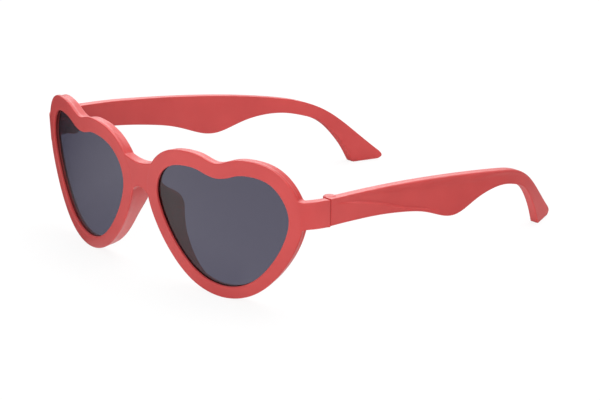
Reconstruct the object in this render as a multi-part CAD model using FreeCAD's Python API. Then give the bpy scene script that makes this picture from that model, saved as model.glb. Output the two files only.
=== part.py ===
import FreeCAD, Part
import math
import os

# Heart shaped sunglasses for a child: a moulded front, two tinted lenses, two temples
# and a screwed barrel hinge at each side.
# Millimetres. +Z is up, the front looks along -Y and the temples run along +Y.
# The wearer's left is +X. The origin lies on the floor, under the middle of the whole.

# Overall sizes
temple_length = 109.5
temple_convergence = 22.0
wrap_radius = 143.5
front_tilt_degrees = 3.9

# Lenses, and the room that the rims leave for them
lens_thickness = 1.2
lens_recess = 1.1
lens_bite = 0.8
lens_edge_clearance = 0.1
lens_face_clearance = 0.04

# Hearts: the rims, measured along the wrap
heart_half_width = 27.5
lobe_height = 16.7
lobe_rise = 1.0
point_depth = 26.1
rim_gap = 7.4
rim_width_top = 4.6
rim_width_bottom = 3.5
rim_back_lip = 0.62
rim_round = 0.6
opening_round = 0.45

# Bridge: heights from the middle line of the hearts, laps onto the rims
bridge_set_back = 0.2
bridge_top_middle = 8.3
bridge_top_end = 10.2
bridge_top_lap = 3.3
bridge_arch_middle = 1.1
bridge_arch_end = -3.3
bridge_arch_lap = 1.2

# Nose pads, moulded on the nasal sides of the rims
pad_wall = 2.2
pad_set_in = 0.25
pad_root = 1.2
pad_depth = 4.2
pad_splay_degrees = 11.0
pad_top_share = 0.18
pad_shoulder_share = 0.06
pad_bottom_share = 0.88
pad_inner_share = 0.29

# End pieces, from the rims round to the hinges
end_piece_reach = 3.9
end_piece_straight = 0.8
end_piece_thickness = 2.7
end_piece_bottom = -1.5
end_piece_top = 6.5
end_piece_set_back = 0.2
end_piece_lap = 2.0
end_piece_turn_lap = 0.4
end_piece_root_flare = 1.4

# Hinge screws and threaded inserts
screw_radius = 0.65
screw_head_overhang = 0.45
screw_head_height = 0.75
screw_head_sink = 0.1
screw_slot_width = 0.32
screw_slot_depth = 0.35
screw_running_clearance = 0.04
screw_head_clearance = 0.05
screw_end_gap = 0.1
insert_wall = 0.5
insert_cover = 0.9
insert_fit = 0.01
thread_fit = 0.02

# Temples and their hinge knuckles
temple_thickness = 2.9
temple_edge_round = 0.7
temple_skin = 0.9
seam_gap = 0.2
knuckle_wall = 0.7
knuckle_set_back = 0.1
knuckle_gap = 0.1
slot_clearance = 0.15
tongue_root_length = 4.2

# One overrun for every cut
overrun = 2.0

# Half of a heart from its notch down to its point: shares of the half width, and of the
# lobe height above the middle line or of the point's depth below it
heart_shares = [
    (0.0, 0.865),
    (0.168, 0.945),
    (0.385, 1.0),
    (0.71, 0.855),
    (0.928, 0.482),
    (1.0, 0.05),
    (0.932, -0.252),
    (0.71, -0.625),
    (0.40, -0.897),
    (0.0, -1.0),
]
outline_samples = 48

# Temple seen from above: shares of its length and of its convergence
temple_plan_shares = [
    (0.0, 0.0),
    (0.12, 0.03),
    (0.235, 0.085),
    (0.46, 0.215),
    (0.69, 0.42),
    (0.84, 0.655),
    (1.0, 1.0),
    (1.06, 1.13),
]
temple_plan_samples = 16

# Temple seen from the side: shares of its length and of its drop
temple_top_shares = [
    (0.0, 1.0),
    (0.14, 0.966),
    (0.28, 0.919),
    (0.46, 0.842),
    (0.68, 0.71),
    (0.83, 0.54),
    (0.94, 0.27),
    (1.0, 0.05),
]
temple_under_shares = [
    (0.10, 0.749),
    (0.19, 0.716),
    (0.28, 0.663),
    (0.36, 0.598),
    (0.42, 0.525),
    (0.46, 0.486),
    (0.495, 0.478),
    (0.53, 0.50),
    (0.585, 0.552),
    (0.645, 0.573),
    (0.71, 0.558),
    (0.767, 0.505),
    (0.82, 0.41),
    (0.856, 0.294),
    (0.885, 0.166),
    (0.91, 0.0),
]
temple_heel_share = 0.985

UP = FreeCAD.Vector(0, 0, 1)
ACROSS = FreeCAD.Vector(1, 0, 0)
ORIGIN = FreeCAD.Vector(0, 0, 0)
WRAP_CENTRE = FreeCAD.Vector(0, wrap_radius, 0)

# Front, worked out from the sizes above
heart_spacing = heart_half_width + rim_gap / 2
heart_turn = heart_spacing / wrap_radius
groove_front = lens_recess
groove_back = lens_recess + lens_thickness + 2 * lens_face_clearance
rim_depth = groove_back + rim_back_lip
rim_edge = heart_spacing + heart_half_width
pad_reach = wrap_radius - math.sqrt(wrap_radius ** 2 - heart_half_width ** 2) + rim_depth + pad_depth

# End pieces: they leave the wrap at turn_angle and bend round to run straight back
turn_angle = (rim_edge - end_piece_turn_lap) / wrap_radius
end_piece_start = (rim_edge - rim_width_top - end_piece_lap) / wrap_radius
end_piece_radius = wrap_radius - end_piece_set_back
hinge_half_width = wrap_radius * math.sin(rim_edge / wrap_radius) + end_piece_reach
bend_radius = (hinge_half_width - end_piece_radius * math.sin(turn_angle)) / (1 - math.sin(turn_angle))
bend_end = wrap_radius - (end_piece_radius - bend_radius) * math.cos(turn_angle)
seam_distance = bend_end + end_piece_straight

# Height of the hinges above the floor that the points of the hearts stand on
tilt = math.radians(front_tilt_degrees)
point_set_back = wrap_radius * (1 - math.cos(heart_turn))
middle_line_height = point_depth * math.cos(tilt) - point_set_back * math.sin(tilt)
hinge_top = middle_line_height + end_piece_top * math.cos(tilt) + seam_distance * math.sin(tilt)
temple_front = seam_distance + seam_gap / 2
temple_front_height = end_piece_top - end_piece_bottom
temple_drop = hinge_top

# Hinge stack: the temple's lower knuckle, the front's tongue, the temple's upper knuckle
insert_radius = screw_radius + insert_wall
screw_head_radius = screw_radius + screw_head_overhang
knuckle_radius = insert_radius + knuckle_wall
knuckle_height = (temple_front_height - 2 * knuckle_gap) / 3
insert_length = knuckle_height - insert_cover
hinge_axis_x = hinge_half_width - temple_skin - slot_clearance - knuckle_radius
hinge_axis_y = temple_front + knuckle_set_back + knuckle_radius
hinge_bottom = hinge_top - temple_front_height
tongue_bottom = hinge_bottom + knuckle_height + knuckle_gap
tongue_top = tongue_bottom + knuckle_height


def vector(x, y, z):
    return FreeCAD.Vector(x, y, z)


def spline(points, closed=False):
    """A smooth curve through the points."""
    curve = Part.BSplineCurve()
    curve.interpolate(Points=points, PeriodicFlag=closed)
    return curve


def line(start, end):
    return Part.LineSegment(start, end).toShape()


def arc(start, middle, end):
    return Part.Arc(start, middle, end).toShape()


def prism(edges, direction):
    """The closed outline made of edges, pushed along direction."""
    wire = Part.Wire(Part.__sortEdges__(edges))
    return Part.Face(wire).extrude(direction)


def mirrored(shape):
    """The same shape for the wearer's right side."""
    return shape.mirror(ORIGIN, ACROSS)


def box(x_range, y_range, z_range):
    size = [pair[1] - pair[0] for pair in (x_range, y_range, z_range)]
    return Part.makeBox(*size, vector(x_range[0], y_range[0], z_range[0]))


def wrap_shell(front_depth, back_depth):
    """The layer of the wrapped front between two depths behind its face."""
    height = 4 * point_depth
    base = WRAP_CENTRE - UP * (height / 2)
    outer = Part.makeCylinder(wrap_radius - front_depth, height, base, UP)
    inner = Part.makeCylinder(wrap_radius - back_depth, height, base, UP)
    return outer.cut(inner)


# Hearts

def heart_point(across_share, up_share, side):
    """One point of the outline; the temporal lobe stands a little higher than the nasal one."""
    height = lobe_height if up_share > 0 else point_depth
    rise = lobe_rise * side * across_share * max(up_share, 0)
    return vector(side * across_share * heart_half_width, 0, up_share * height + rise)


def heart_outline():
    """The rim's outside, clockwise from the notch, in the plane that touches the wrap."""
    temporal = [heart_point(across, up, 1) for across, up in heart_shares]
    nasal = [heart_point(across, up, -1) for across, up in reversed(heart_shares[1:-1])]
    return spline(temporal + nasal, closed=True)


def rim_width(height):
    """The rim narrows from its lobes to its point."""
    share = (height + point_depth) / (lobe_height + point_depth)
    return rim_width_bottom + (rim_width_top - rim_width_bottom) * share


def inset_outline(extra, constant=None):
    """The lens opening's outline, or one further out by extra, or a constant inset."""
    outer = heart_outline()
    first, last = outer.FirstParameter, outer.LastParameter
    points = []
    for index in range(outline_samples):
        parameter = first + (last - first) * index / outline_samples
        point = outer.value(parameter)
        along = outer.tangent(parameter)[0]
        inward = vector(along.z, 0, -along.x)
        inset = constant if constant is not None else rim_width(point.z) - extra
        points.append(point + inward * inset)
    return spline(points, closed=True)


def heart_prism(outline):
    """An outline pushed from in front of the front face to behind the nose pads."""
    start = -overrun
    length = overrun + pad_reach + 2 * rim_depth
    face = Part.Face(Part.Wire([outline.toShape()]))
    face.translate(vector(0, start, 0))
    return face.extrude(vector(0, length, 0))


def depth_of(edge):
    """How far behind the front face an edge's middle lies."""
    first, last = edge.ParameterRange
    point = edge.valueAt((first + last) / 2)
    return wrap_radius - math.hypot(point.x, point.y - wrap_radius)


def face_edges(shape, depth):
    """The closed edges that lie at one depth behind the front face."""
    loops = [edge for edge in shape.Edges if edge.isClosed()]
    return [edge for edge in loops if abs(depth_of(edge) - depth) < rim_round / 4]


def to_place(shape):
    """Turn a heart from the middle of the wrap to the wearer's left eye."""
    placed = shape.copy()
    placed.rotate(WRAP_CENTRE, UP, math.degrees(heart_turn))
    return placed


def make_hole():
    """The opening through a rim, with the groove that the lens edge sits in."""
    groove = heart_prism(inset_outline(lens_bite + lens_edge_clearance))
    groove = groove.common(wrap_shell(groove_front, groove_back))
    return heart_prism(inset_outline(0)).fuse(groove)


def make_rim(hole):
    """One rim with rounded edges."""
    blank = heart_prism(heart_outline()).common(wrap_shell(0, rim_depth))
    outer_edges = face_edges(blank, 0) + face_edges(blank, rim_depth)
    ring = blank.makeFillet(rim_round, outer_edges).cut(hole)
    inner_width = 2 * heart_half_width - rim_width_top
    opening_edges = [edge for edge in face_edges(ring, 0) if edge.BoundBox.XLength < inner_width]
    return ring.makeFillet(opening_round, opening_edges)


def make_lens():
    front = groove_front + lens_face_clearance
    outline = inset_outline(lens_bite)
    return heart_prism(outline).common(wrap_shell(front, front + lens_thickness))


def make_pad():
    """A flare behind the nasal side of a rim, deepest just under the bridge."""
    face = Part.Face(Part.Wire([inset_outline(0, constant=pad_set_in).toShape()]))
    hollow = Part.Face(Part.Wire([inset_outline(0, constant=pad_set_in + pad_wall).toShape()]))
    reach = pad_reach + overrun
    splay = math.tan(math.radians(pad_splay_degrees))
    flare = face.cut(hollow).extrude(vector(reach * splay, reach, 0))
    side = -heart_half_width - overrun
    top = pad_top_share * lobe_height
    bottom = -pad_bottom_share * point_depth
    corners = [
        vector(side, 0, top),
        vector(side, pad_reach - pad_wall, top),
        vector(side, pad_reach, -pad_shoulder_share * point_depth),
        vector(side, rim_depth, bottom),
        vector(side, 0, bottom),
    ]
    sides = [line(corners[index - 1], corners[index]) for index in range(len(corners))]
    limit = prism(sides, ACROSS * (-side - pad_inner_share * heart_half_width))
    return flare.common(limit).common(wrap_shell(pad_root, 2 * reach))


# Front

def make_bridge():
    """The saddle between the rims, a little behind their faces."""
    top_half_width = rim_gap / 2 + bridge_top_lap
    arch_half_width = rim_gap / 2 + bridge_arch_lap
    top_left = vector(-top_half_width, 0, bridge_top_end)
    top_right = vector(top_half_width, 0, bridge_top_end)
    arch_left = vector(-arch_half_width, 0, bridge_arch_end)
    arch_right = vector(arch_half_width, 0, bridge_arch_end)
    edges = [
        arc(top_left, vector(0, 0, bridge_top_middle), top_right),
        line(top_right, arch_right),
        arc(arch_right, vector(0, 0, bridge_arch_middle), arch_left),
        line(arch_left, top_left),
    ]
    block = prism(edges, vector(0, 2 * rim_depth, 0))
    block.translate(vector(0, -overrun, 0))
    return block.common(wrap_shell(bridge_set_back, rim_depth - bridge_set_back))


def on_wrap(angle, inset):
    """A point of the end piece where it still follows the wrap."""
    reach = end_piece_radius - inset
    return vector(reach * math.sin(angle), wrap_radius - reach * math.cos(angle), 0)


def on_bend(angle, inset):
    """A point of the end piece on its bend."""
    centre = vector(hinge_half_width - bend_radius, bend_end, 0)
    reach = bend_radius - inset
    return centre + vector(reach * math.sin(angle), -reach * math.cos(angle), 0)


def end_piece_band():
    """Plan of the end piece: along the wrap, round a bend and straight back past the seam."""
    end = seam_distance + overrun
    quarter = math.pi / 2
    middle_wrap = (end_piece_start + turn_angle) / 2
    middle_bend = (turn_angle + quarter) / 2
    edges = []
    for inset in (0, end_piece_thickness):
        start = on_wrap(end_piece_start, inset)
        turn = on_bend(turn_angle, inset)
        straight = on_bend(quarter, inset)
        edges.append(arc(start, on_wrap(middle_wrap, inset), turn))
        edges.append(arc(turn, on_bend(middle_bend, inset), straight))
        edges.append(line(straight, vector(hinge_half_width - inset, end, 0)))
    edges.append(line(on_wrap(end_piece_start, 0), on_wrap(end_piece_start, end_piece_thickness)))
    outer_end = vector(hinge_half_width, end, 0)
    edges.append(line(outer_end, outer_end - ACROSS * end_piece_thickness))
    return edges


def end_piece_profile():
    """The end piece seen from the front, flaring in round corners where it leaves the rim."""
    neck = hinge_half_width - end_piece_reach
    root = neck - end_piece_root_flare
    inside = on_wrap(end_piece_start, end_piece_thickness).x - overrun
    outside = hinge_half_width + overrun
    slack = end_piece_root_flare * (1 - math.sqrt(2) / 2)
    edges = []
    for level, away in ((end_piece_bottom, -1), (end_piece_top, 1)):
        flared = level + away * end_piece_root_flare
        edges.append(line(vector(inside, 0, flared), vector(root, 0, flared)))
        bend = vector(root + slack, 0, level + away * slack)
        edges.append(arc(vector(root, 0, flared), bend, vector(neck, 0, level)))
        edges.append(line(vector(neck, 0, level), vector(outside, 0, level)))
    for place, flare in ((inside, end_piece_root_flare), (outside, 0)):
        low = vector(place, 0, end_piece_bottom - flare)
        high = vector(place, 0, end_piece_top + flare)
        edges.append(line(low, high))
    return edges


def make_end_piece():
    tall = end_piece_top - end_piece_bottom + 4 * end_piece_root_flare
    band = prism(end_piece_band(), UP * tall)
    band.translate(UP * (end_piece_bottom - 2 * end_piece_root_flare))
    profile = prism(end_piece_profile(), vector(0, 2 * seam_distance, 0))
    profile.translate(vector(0, -overrun, 0))
    return band.common(profile)


def make_tongue():
    """The end piece's knuckle, which sits between the temple's two."""
    left = hinge_axis_x - knuckle_radius
    right = hinge_axis_x + knuckle_radius
    neck_start = seam_distance - tongue_root_length
    neck = box((left, right), (neck_start, hinge_axis_y), (tongue_bottom, tongue_top))
    foot = vector(hinge_axis_x, hinge_axis_y, tongue_bottom)
    knuckle = Part.makeCylinder(knuckle_radius, knuckle_height, foot, UP)
    bore_radius = screw_radius + screw_running_clearance
    bore = hinge_cylinder(bore_radius, tongue_bottom - overrun, tongue_top + overrun)
    return neck.fuse(knuckle).cut(bore)


def hinge_cylinder(radius, bottom, top):
    """A cylinder on the left hinge's axis."""
    return Part.makeCylinder(radius, top - bottom, vector(hinge_axis_x, hinge_axis_y, bottom), UP)


def stand(shape, lift):
    """Lean the top of the front forward and raise it onto the points of its hearts."""
    standing = shape.copy()
    standing.rotate(ORIGIN, ACROSS, front_tilt_degrees)
    standing.translate(lift)
    return standing


def make_hinged_end(hole, lift):
    """An end piece cut square at the seam, with its hinge knuckle."""
    end_piece = stand(make_end_piece().cut(hole), lift)
    sides = (hinge_axis_x - 2 * knuckle_radius, hinge_half_width + overrun)
    depths = (seam_distance - seam_gap / 2, seam_distance + 2 * overrun)
    behind = box(sides, depths, (0, 2 * temple_drop))
    return end_piece.cut(behind).fuse(make_tongue())


def make_front(rim, hole, lift):
    """Rims, pads, bridge, end pieces and their knuckles in one moulding."""
    side = stand(rim.fuse(to_place(make_pad()).cut(hole)), lift)
    side = side.fuse(make_hinged_end(hole, lift))
    bridge = stand(make_bridge().cut(hole).cut(mirrored(hole)), lift)
    return side.fuse([mirrored(side), bridge])


# Temples

def temple_plan():
    """The temple's outer and inner faces seen from above."""
    outer_points = []
    for along, inward in temple_plan_shares:
        x = hinge_half_width - inward * temple_convergence
        outer_points.append(vector(x, temple_front + along * temple_length, 0))
    outer = spline(outer_points)
    first, last = outer.FirstParameter, outer.LastParameter
    inner_points = []
    for index in range(temple_plan_samples + 1):
        parameter = first + (last - first) * index / temple_plan_samples
        along = outer.tangent(parameter)[0]
        inner_points.append(outer.value(parameter) + vector(-along.y, along.x, 0) * temple_thickness)
    inner_points[0].y = temple_front
    inner = spline(inner_points)
    return [
        outer.toShape(),
        inner.toShape(),
        line(outer_points[0], inner_points[0]),
        line(outer_points[-1], inner_points[-1]),
    ]


def temple_profile():
    """The temple seen from the side: waist, bulge, arch over the ear and a flat-cut tip."""
    def place(along, up):
        return vector(0, temple_front + along * temple_length, up * temple_drop)

    top = [place(along, up) for along, up in temple_top_shares]
    front_foot = vector(0, temple_front, hinge_top - temple_front_height)
    under = [front_foot] + [place(along, up) for along, up in temple_under_shares]
    heel = place(temple_heel_share, 0)
    heel_bend = place((1 + temple_heel_share) / 2, temple_top_shares[-1][1] / 4)
    return [
        spline(top).toShape(),
        arc(top[-1], heel_bend, heel),
        line(heel, under[-1]),
        spline(under).toShape(),
        line(front_foot, top[0]),
    ]


def make_temple():
    """The left temple with its two hinge knuckles."""
    plan = prism(temple_plan(), UP * (temple_drop + 2 * overrun))
    plan.translate(UP * -overrun)
    profile = prism(temple_profile(), ACROSS * (hinge_half_width + overrun))
    blade = plan.common(profile)
    long_edges = [edge for edge in blade.Edges if edge.Length > temple_length / 2]
    blade = blade.makeFillet(temple_edge_round, long_edges)
    barrel = hinge_cylinder(knuckle_radius, hinge_bottom, hinge_top)
    slot_radius = knuckle_radius + slot_clearance
    slot_bottom = tongue_bottom - knuckle_gap
    slot_top = tongue_top + knuckle_gap
    slot = hinge_cylinder(slot_radius, slot_bottom, slot_top)
    mouth_x = (hinge_axis_x - slot_radius, hinge_axis_x + slot_radius)
    mouth = box(mouth_x, (temple_front - overrun, hinge_axis_y), (slot_bottom, slot_top))
    temple = blade.fuse(barrel).cut(slot.fuse(mouth))
    head_seat = hinge_bottom + screw_head_sink + screw_head_height
    head_radius = screw_head_radius + screw_head_clearance
    insert_bottom = tongue_top + knuckle_gap
    insert_top = insert_bottom + insert_length + insert_fit
    for radius, bottom, top in (
        (head_radius, hinge_bottom - overrun, head_seat),
        (screw_radius + thread_fit, hinge_bottom, tongue_bottom),
        (insert_radius + insert_fit, tongue_top, insert_top),
    ):
        temple = temple.cut(hinge_cylinder(radius, bottom, top))
    return temple.removeSplitter()


# Hinge hardware

def make_screw():
    """A slotted shoulder screw, put in from below."""
    head_bottom = hinge_bottom + screw_head_sink
    head_top = head_bottom + screw_head_height
    end = tongue_top + knuckle_gap + insert_length - screw_end_gap
    head = hinge_cylinder(screw_head_radius, head_bottom, head_top)
    half_slot = screw_slot_width / 2
    slot_x = (hinge_axis_x - half_slot, hinge_axis_x + half_slot)
    slot_y = (hinge_axis_y - overrun, hinge_axis_y + overrun)
    slot = box(slot_x, slot_y, (head_bottom - overrun, head_bottom + screw_slot_depth))
    shank = hinge_cylinder(screw_radius, head_top - screw_slot_depth, end)
    return head.cut(slot).fuse(shank).removeSplitter()


def make_insert():
    """A brass bush with the screw's thread, blind in the temple's top knuckle."""
    bottom = tongue_top + knuckle_gap
    top = bottom + insert_length
    body = hinge_cylinder(insert_radius, bottom, top)
    return body.cut(hinge_cylinder(screw_radius + thread_fit, bottom - overrun, top + overrun))


# Assembly

def assemble():
    """All the pieces, with the hearts and the temple tips on the floor."""
    hole = make_hole()
    rim = to_place(make_rim(hole))
    hole = to_place(hole)
    lift = UP * -stand(rim, ORIGIN).optimalBoundingBox(False).ZMin
    left = {
        "left_lens": stand(to_place(make_lens()), lift),
        "left_temple": make_temple(),
        "left_hinge_screw": make_screw(),
        "left_hinge_insert": make_insert(),
    }
    pieces = {"front_frame": make_front(rim, hole, lift)}
    for name, shape in left.items():
        pieces[name] = shape
        pieces[name.replace("left", "right")] = mirrored(shape)
    return pieces


def centre(pieces):
    """Put the origin on the floor, under the middle of the whole."""
    whole = Part.makeCompound(list(pieces.values())).optimalBoundingBox(False)
    shift = vector(0, -whole.Center.y, -whole.ZMin)
    for shape in pieces.values():
        shape.translate(shift)
    return shift


def main():
    pieces = assemble()
    shift = centre(pieces)
    os.makedirs("parts", exist_ok=True)
    for name, shape in pieces.items():
        shape.exportStep("parts/" + name + ".step")
        print(name, "solids", len(shape.Solids), "valid", shape.isValid(), "volume", round(shape.Volume, 1))
    axis = vector(hinge_axis_x, hinge_axis_y, (hinge_bottom + hinge_top) / 2) + shift
    print("left hinge axis", [round(value, 3) for value in axis], "shift back", round(shift.y, 3))


main()
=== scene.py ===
import math

import bmesh
import bpy
import numpy as np
from bpy.props import FloatProperty, FloatVectorProperty, PointerProperty
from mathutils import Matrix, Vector


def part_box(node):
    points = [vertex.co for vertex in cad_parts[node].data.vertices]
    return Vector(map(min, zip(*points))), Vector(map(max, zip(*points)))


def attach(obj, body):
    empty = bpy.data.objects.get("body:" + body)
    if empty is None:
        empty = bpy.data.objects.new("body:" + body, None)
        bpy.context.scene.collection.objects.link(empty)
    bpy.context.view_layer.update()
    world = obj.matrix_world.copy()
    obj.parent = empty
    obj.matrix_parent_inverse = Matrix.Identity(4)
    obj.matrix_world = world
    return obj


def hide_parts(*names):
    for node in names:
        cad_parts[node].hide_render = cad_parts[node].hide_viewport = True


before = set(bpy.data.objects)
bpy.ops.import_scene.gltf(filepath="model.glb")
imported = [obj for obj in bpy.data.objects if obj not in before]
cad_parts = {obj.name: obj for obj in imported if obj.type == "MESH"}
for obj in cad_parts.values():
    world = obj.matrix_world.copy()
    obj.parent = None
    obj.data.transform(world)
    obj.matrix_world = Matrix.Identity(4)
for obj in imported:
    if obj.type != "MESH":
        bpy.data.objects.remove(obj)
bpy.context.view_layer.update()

bl_info = {
    "name": "Heart Sunglasses",
    "version": (1, 0, 0),
    "blender": (4, 5, 0),
    "location": "View3D > Sidebar > Sunglasses",
    "description": "Builds a child's heart shaped sunglasses on their packed frame",
    "category": "Object",
}

MM = 0.001
SCREW_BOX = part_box("left_hinge_screw")
TEMPLE_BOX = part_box("left_temple")
HINGE_X = (SCREW_BOX[0].x + SCREW_BOX[1].x) / 2
HINGE_Y = (SCREW_BOX[0].y + SCREW_BOX[1].y) / 2

# Half of a heart from its notch down to its point: shares of the half width, and of the
# lobe height above the middle line or of the point's depth below it
HEART_SHARES = (
    (0.0, 0.86), (0.168, 0.935), (0.39, 0.983), (0.715, 0.86), (0.933, 0.487),
    (1.0, 0.05), (0.927, -0.252), (0.70, -0.622), (0.392, -0.895), (0.0, -1.0),
)

# Temple from above: shares of its length and of its convergence
PLAN_SHARES = (
    (0.0, 0.0), (0.12, 0.03), (0.235, 0.085), (0.46, 0.215),
    (0.69, 0.42), (0.84, 0.655), (1.0, 1.0), (1.06, 1.13),
)

# Temple from the side: shares of its length and of its drop
TOP_SHARES = (
    (0.0, 1.0), (0.14, 0.974), (0.28, 0.930), (0.46, 0.853),
    (0.68, 0.724), (0.826, 0.562), (0.933, 0.262), (1.0, 0.05),
)
UNDER_SHARES = (
    (0.10, 0.752), (0.19, 0.722), (0.28, 0.672), (0.36, 0.607), (0.42, 0.530), (0.46, 0.487),
    (0.495, 0.477), (0.53, 0.497), (0.585, 0.546), (0.645, 0.571), (0.71, 0.562), (0.767, 0.514),
    (0.826, 0.424), (0.862, 0.302), (0.890, 0.166), (0.914, 0.0),
)
HEEL_SHARE = 0.985

# Temple: cross sections before the hook, in shares of its length, and round the hook, of what is left
STRAIGHT_SHARES = (
    0, 0.004, 0.03, 0.065, 0.10, 0.14, 0.18, 0.22, 0.26, 0.30, 0.34, 0.38, 0.42,
    0.455, 0.49, 0.525, 0.56, 0.60, 0.64, 0.68, 0.72, 0.755,
)
HOOK_SHARES = (0.16, 0.30, 0.43, 0.56, 0.68, 0.79, 0.89, 0.96)
TIP_UNDER_SHARE = 0.992
HEEL_MIX_SHARE = 0.3

# Temple: where along its length the crown grows, the bead ends, and the panel rises and ends
CROWN_START_SHARES = (0.02, 0.35)
BEAD_END_SHARES = (0.68, 0.90)
PANEL_START_SHARES = (0.015, 0.10)
PANEL_END_SHARES = (0.35, 0.42)

# Temple section: the most of its height that a round takes, the crown's columns in crown rounds, how far
# the first columns step in, the panel line's limits, and the inner edge's share of the thickness
EDGE_LIMIT_SHARE = 0.1
UNDER_LIMIT_SHARE = 0.12
CROWN_LIMIT_SHARE = 0.2
CROWN_COLUMN_SHARES = (0.7, 1.1, 1.8, 2.8)
BEAD_FACE_SHARE = 0.12
HOLLOW_FACE_SHARE = 0.93
PANEL_LOW_SHARE = 1.5
PANEL_HIGH_SHARE = 1.1
INNER_EDGE_SHARE = 0.83

# The temple's moulded panel line: share of the length, share of the height under the top edge
PANEL_SHARES = (
    (0.0, 0.10), (0.045, 0.17), (0.075, 0.26), (0.127, 0.39), (0.18, 0.525),
    (0.22, 0.655), (0.27, 0.80), (0.31, 0.90), (0.35, 0.95), (1.0, 0.95),
)
PANEL_COLUMNS = (5, 6)
PANEL_LAST_ROW = 12

# Nose pad: shares of the point's depth, up from the middle line, and of the pad's reach
PAD_SHARES = (
    (-1.0, 0.36), (-0.94, 0.41), (-0.88, 0.465), (-0.80, 0.53), (-0.68, 0.605), (-0.53, 0.69), (-0.375, 0.85),
    (-0.26, 0.985), (-0.19, 0.99), (-0.11, 0.90), (-0.04, 0.75), (0.035, 0.54), (0.13, 0.35),
)
PAD_LOW_LEAN_SHARE = 0.3
PAD_LEAN_RANGE_SHARES = (-1.0, -0.45)

# Rim sections: rows of the outer wall and of the groove, and how a pad draws the wall and the back out
WALL_SHARES = {0: 0, 17: 0.14, 16: 0.38, 15: 0.46, 14: 0.86, 13: 1}
GROOVE_ROWS = (5, 6, 7, 8)
RIM_BACK_SHARES = (0.75, 0.5, 0.25)
PAD_WALL_SHARES = ((16, 0.25), (15, 0.33), (14, 0.88), (13, 1.0))
PAD_BACK_SHARES = ((12, 0.5, 0.06), (11, 1.0, 0))
PAD_FOOT_ROW = 10
PAD_FOOT_SHARE = 1.25

# Rim columns: steps between the branches, those next to a branch, those of a branch, and an end piece's bend
RIM_STEPS = 12
NASAL_STEPS = 14
BEFORE_END_SHARE = 0.98
BEFORE_BRIDGE_SHARE = 0.976
AFTER_BRANCH_SHARE = 0.024
BRANCH_SHARES = (0, 0.06, 0.28, 0.62, 0.94, 1)
END_BEND_SHARES = (0.045, 0.14, 0.32, 0.54, 0.77, 1.0)

# Lens: rings from its middle out to its edge, and points round it
LENS_SHARES = (0.08, 0.22, 0.38, 0.54, 0.69, 0.83, 0.94, 1.0)
LENS_COLUMNS = 96

# Meshes: distance that merges the front's halves, overrun of cutters, and angles that stay sharp
MERGE_DISTANCE = 0.02 * MM
CUT_OVERRUN = MM
SLOT_OVERRUN = 2 * MM
LENS_SHARP_ANGLE = math.radians(40)
TEMPLE_SHARP_ANGLE = math.radians(38)
KNUCKLE_SEGMENTS = 32
BARREL_SEGMENTS = 64
TEMPLE_END_CREASE = 0.45


# Sizes and colours

def length(name, description, millimetres):
    """A length that a user may change."""
    return FloatProperty(
        name=name, description=description, default=millimetres * MM, precision=6, unit="LENGTH")


def angle(name, description, degrees):
    """An angle that a user may change."""
    return FloatProperty(name=name, description=description, default=math.radians(degrees), subtype="ANGLE")


def colour(name, description, value):
    """A surface colour that a user may change."""
    return FloatVectorProperty(
        name=name, description=description, default=value, size=4, min=0, max=1, subtype="COLOR")


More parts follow.
